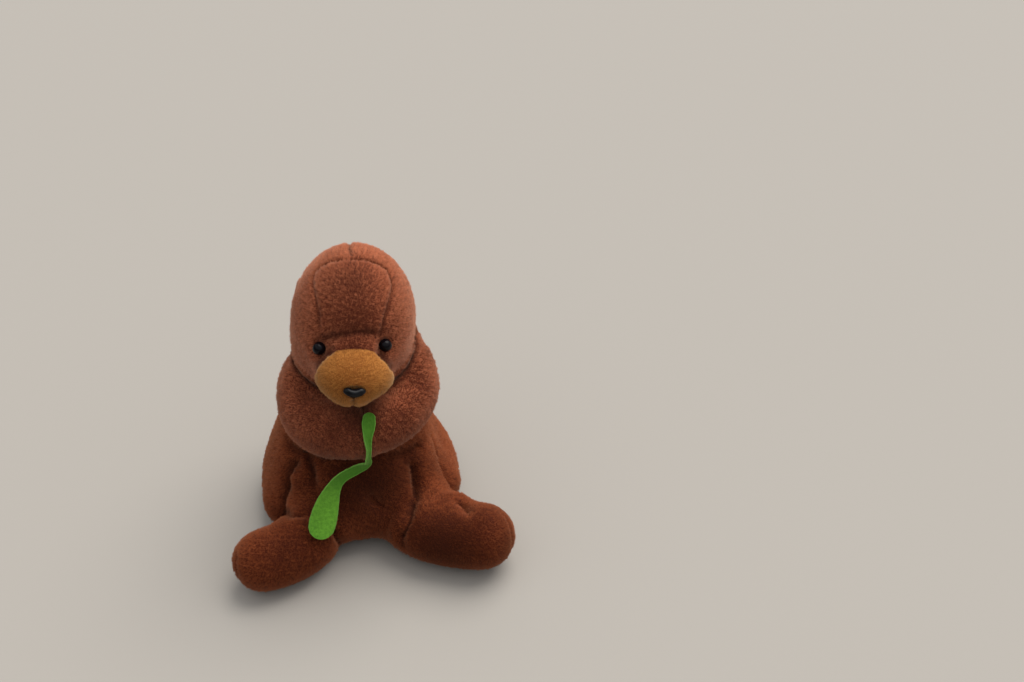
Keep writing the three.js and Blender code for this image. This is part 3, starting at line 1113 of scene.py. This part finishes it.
def head_skin():
    """The head and the muzzle as one skin, with the tan panel's seam drawn in."""
    skin = Skin(union(("head", "muzzle"), 0.35, 0.95))
    skin.smooth(14)
    local = to_head(skin.at)
    # Skull and snout are near two ellipsoids, and flow together most at the cheeks.
    low = np.clip(-local[:, 2] / 44, 0, 1)
    skull = np.linalg.norm(local / (35, 39, 44), axis=1) / (1 + 0.2 * smooth_step(0, 1, low))
    snout = np.linalg.norm((local - (0, -36, -10)) / (24.5, 24.5, 17.5), axis=1)
    cheek = smooth_step(4, 14, np.abs(local[:, 0]))
    meeting = np.exp(-(((skull - 1) / 0.22) ** 2) - (((snout - 1) / 0.32) ** 2))
    skin.smooth(140, 0.5, meeting * (0.25 + 0.75 * cheek))
    skin.inset(HEAD_PRESSES)
    seams = [from_head(line) for line in (LEFT_GUSSET, RIGHT_GUSSET, BACK_SEAM, MOUTH)]
    skin.fill(seams, HEAD_PRESSES)

    local = to_head(skin.at)
    seam = off_seam(local)
    side = smooth_step(9, 15, np.abs(local[:, 0])) * smooth_step(-18, -9, local[:, 2])
    skin.push((0.6 + 1.6 * side) * fading(seam, 1.2 + 0.6 * side))
    skin.push(1.5 * side * fading(seam - 2.5, 3.5))
    left, right, back, mouth = seams
    skin.fold(left, 0.9, 1.3, 0.8, 4.5)
    skin.fold(right, 1.1, 1.3, 0.8, 4.5)
    skin.fold(back, 1.2, 1.3, 1.2, 4.0)
    skin.fold(from_head(BROW), 2.0, 2.6)
    skin.fold(mouth, 2.8, 1.5, 0.3)
    for place, radius, depth in FACE_DENTS:
        skin.dent(from_head(place), radius, depth)
    skin.smooth(1, 0.4)
    # Along the tan panel's seam, the dark of the seam itself and painted shade; painted shade in
    # the furrows beside it on the cheeks, on the forehead, and where the trunk and arms lie close.
    skin.part((0.35 + 0.5 * side) * fading(seam, 1.1))
    skin.part(0.75 * side * (seam > 0) * fading(seam - 1.0, 2.6))
    skin.flatten(FACE_PAINTED_SHADE)
    skin.shade(HEAD_PRESSES, 2.2, 0.7)
    skin.finish()
    return skin


def under_nose(local):
    """Which places in the head's frame the nose covers."""
    nose = to_head(middle_of("nose"))
    tilt = math.radians(NOSE_TILT)
    # A bean like the nose's own outline, but a little smaller.
    across = (local - nose)[:, 0] / NOSE_HALF[0]
    up = (local - nose) @ (0, math.sin(tilt), math.cos(tilt)) / NOSE_HALF[2]
    bean = across**2 + (1.05 * up + 0.1 - 0.37 * across**2) ** 2 < 0.72
    return bean & (local[:, 1] < nose[1] + 6)


def from_snout(points, out):
    """Combs the face's pile away from the tip of the snout, and down."""
    return unit(points - from_head((0, -52, -8))) - 0.4 * UP


def make_head():
    """The head's two panels, brown and tan, each with its pile."""
    halves = part_panel(head_skin())
    looks = (("head", BROWN, "plush", 1.0), ("muzzle", TAN, "tan_plush", 1.6))
    for number, (mesh, (name, material, slot, fine)) in enumerate(zip(halves, looks)):
        mesh.name = name + "_skin"
        head = piece(name + "_skin", mesh, material, [name])
        room = room_above(mesh, (*HEAD_PRESSES, "leaf", "eye_left", "eye_right"))
        local = to_head(corners_of(mesh))
        room[under_nose(local)] = 0
        pile = PILE + (PILE_FACE - PILE) * smooth_step(-5, -35, local[:, 1])
        pile *= 0.6 + 0.4 * smooth_step(0, 2, np.abs(off_seam(local)))
        ends = ((0, 0, -8), (0, 0, 8)) if name == "head" else ((0, -30, -9), (0, -42, -9))
        line, seed = from_head(ends), 500 + 10 * number
        size = {"density": TUFTS_PER_MM2 * fine, "width": TUFT_WIDTH / math.sqrt(fine)}
        made = tufts(head, room, pile, from_snout, line, seed, room > LEAST_ROOM, **size)
        coat("pile_" + name, made, material)


def combed_up(points, out):
    return 0 * points + UP


def make_ear(side):
    name = "ear_" + side
    skin = Skin(union([name], 0.0, 0.5))
    skin.smooth(4)
    skin.push(0.6)
    middle = np.array(middle_of(name))
    out = -1 if side == "left" else 1
    skin.dent(middle + np.array((2.5 * out, -1, 0)) * MM, 3.0, 0.8)
    skin.finish()
    ear = piece(name + "_skin", skin.mesh, BROWN, [name])
    room = room_above(skin.mesh, ("head", "trunk"))
    line, seed = [middle - 3 * MM * UP, middle + 3 * MM * UP], 700 + len(side)
    made = tufts(ear, room, 1.0, combed_up, line, seed, room > LEAST_ROOM, density=9.0, width=0.2)
    coat("pile_" + name, made, BROWN)


# ---- eyes, nose and leaf


def lathed(profile, around=48):
    """A round mesh from a profile of (radius, height), closed where the radius is nought."""
    bm = bmesh.new()
    turns = np.linspace(0, 2 * math.pi, around, endpoint=False)
    rings = [
        [bm.verts.new((r * math.cos(a), r * math.sin(a), z)) for a in (turns if r else turns[:1])]
        for r, z in profile
    ]
    for low, high in zip(rings[:-1], rings[1:]):
        for i in range(around):
            order = ((low, i), (low, i + 1), (high, i + 1), (high, i))
            corners = [ring[k % len(ring)] for ring, k in order]
            bm.faces.new(list(dict.fromkeys(corners)))
    bmesh.ops.recalc_face_normals(bm, faces=bm.faces)
    return bm


def make_eye(side):
    """A domed bead on a thin flange, set square to the face."""
    name = "eye_" + side
    r = EYE_RADIUS
    dome = [(r * math.sin(t), r * math.cos(t)) for t in np.linspace(0, 1.75, 22)[1:]]
    profile = [(0, r), *dome, (r * 1.02, -0.35 * r), (r * 0.9, -0.55 * r), (0, -0.6 * r)]
    bm = lathed([(a * MM, b * MM) for a, b in profile])
    out = Vector(from_head((-10 if side == "left" else 10, -20, 0)) - from_head((0, 0, 0)))
    turn = out.to_track_quat("Z", "Y").to_matrix().to_4x4()
    bm.transform(Matrix.Translation(middle_of(name)) @ turn)
    mesh = mesh_from(bm, name + "_bead")
    piece(name + "_bead", mesh, EYE_BLACK, [name])


def make_nose():
    """A wide bean whose two ends turn up, with a dimple at each side."""
    bm = bmesh.new()
    bmesh.ops.create_uvsphere(bm, u_segments=48, v_segments=32, radius=1)
    wide, deep, tall = NOSE_HALF
    for v in bm.verts:
        x, y, z = v.co
        pits = math.exp(-(((abs(x) - 0.5) / 0.2) ** 2) - ((z + 0.1) / 0.35) ** 2)
        lobes = min(0.8 + 1.5 * x * x, 1.25) if z > 0 else 1
        v.co = (
            wide * x,
            deep * y * (1 - 0.16 * pits * (y < 0)),
            tall * z * lobes + 0.9 * x * x - 0.2,
        )
    bm.transform(Matrix.Rotation(math.radians(-NOSE_TILT), 4, "X"))
    bm.transform(HEAD.to_3x3().to_4x4())
    bm.transform(Matrix.Translation(middle_of("nose")))
    mesh = mesh_from(bm, "nose_bean")
    piece("nose_bean", mesh, NOSE_BLACK, ["nose"])


# The felt strip from its upper tip to its lower. In each row: the middle of its width, half its
# width, the way its face looks, and how far its edges curl up.
LEAF_ROUTE = [
    (5.0, -51.5, 98.8, 3.0, 0.1, -1, 0.6, 0.5),
    (4.5, -53.5, 97.0, 3.4, 0.1, -1, 0.6, 0.8),
    (3.5, -57.5, 94.0, 3.6, 0.1, -1, 0.6, 1.0),
    (2.2, -62.0, 89.5, 2.4, 0.3, -1, 0.4, 0.9),
    (1.9, -65.0, 83.0, 1.7, 0.7, -1, 0.0, 0.4),
    (1.2, -65.0, 77.0, 1.8, 0.6, -1, -0.1, 0.3),
    (0.2, -63.5, 72.0, 2.4, 0.3, -1, 0.1, 0.3),
    (-6.5, -61.5, 67.0, 2.8, 0.1, -1, 0.4, 0.5),
    (-14.5, -62.5, 63.5, 3.1, 0.1, -1, 0.4, 0.6),
    (-19.5, -65.0, 59.0, 4.2, 0.0, -1, 0.35, 0.5),
    (-23.5, -67.5, 51.5, 6.2, 0.0, -1, 0.35, 0.4),
    (-27.0, -71.5, 43.5, 7.4, 0.0, -1, 0.5, 0.5),
    (-29.3, -75.0, 38.2, 7.2, 0.0, -1, 0.6, 0.6),
    (-30.5, -77.2, 35.4, 7.0, 0.0, -1, 0.6, 0.6),
    (-31.0, -78.0, 34.2, 6.8, 0.0, -1, 0.6, 0.6),
]


def make_leaf():
    """The felt strip, with round tips and softened cut edges."""
    route = rounded(LEAF_ROUTE, 0.45)
    at, half, face, curl = route[:, :3], route[:, 3], route[:, 4:7], route[:, 7]
    along = np.concatenate([[0], np.cumsum(np.linalg.norm(np.diff(at, axis=0), axis=1))])
    total = along[-1]
    for end, from_end in ((half[0], along), (half[-1], total - along)):
        half = half * np.sqrt(np.clip(1 - np.clip(1 - from_end / end, 0, 1) ** 2, 0.0004, 1))
    ahead = unit(np.gradient(at, axis=0))
    side = unit(np.cross(face, ahead))
    out = unit(np.cross(ahead, side))
    # Round the strip's section: over the face, round the cut edge, and back underneath.
    across = np.linspace(-1, 1, 15)
    top = [(a, 0.5 * (1 - 0.25 * a**6)) for a in across]
    ring = top + [(a, -h) for a, h in reversed(top)]
    ring.insert(len(top), (1.02, 0.0))
    ring.append((-1.02, 0.0))
    wave = 0.35 * np.sin(along / 5.3 + 0.6) * np.clip(half / 7, 0, 1)
    bm = bmesh.new()
    rows = []
    for i in range(len(at)):
        row = []
        for a, h in ring:
            lift = curl[i] * (abs(a) ** 2.4 - 0.35) + wave[i] * a
            spot = at[i] + side[i] * a * half[i] + out[i] * (h * LEAF_THICK + lift)
            row.append(bm.verts.new(spots(spot)))
        rows.append(row)
    for one, two in zip(rows[:-1], rows[1:]):
        for j in range(len(ring)):
            k = (j + 1) % len(ring)
            bm.faces.new((one[j], one[k], two[k], two[j]))
    bm.faces.new(reversed(rows[0]))
    bm.faces.new(rows[-1])
    bmesh.ops.recalc_face_normals(bm, faces=bm.faces)
    mesh = mesh_from(bm, "leaf_felt")
    # Marks the cut edge, and the lower blade, which gets painted light.
    rim = np.array([abs(a) for a, _ in ring])
    inner = np.clip((1 - rim[None]) * half[:, None] / LEAF_RIM, 0, 1)
    tips = np.clip(np.minimum(along, total - along)[:, None] / LEAF_RIM, 0, 1)
    edge = 1 - np.minimum(inner, tips)
    mark(mesh, "edge", edge)
    blade = smooth_step(0.55, 0.75, along / total)[:, None]
    mark(mesh, "pale", np.broadcast_to(blade, edge.shape))

    skin = Skin(mesh)
    fine, _ = ripple(skin.at, 1.3, 41)
    skin.push(0.05 * fine)
    skin.write()
    leaf = piece("leaf_felt", mesh, GREEN, ["leaf"])


make_camera()
make_floor()
make_light()
make_body()
for side in ("left", "right"):
    make_arm(side)
    make_ear(side)
    make_eye(side)
make_head()
make_nose()
make_leaf()
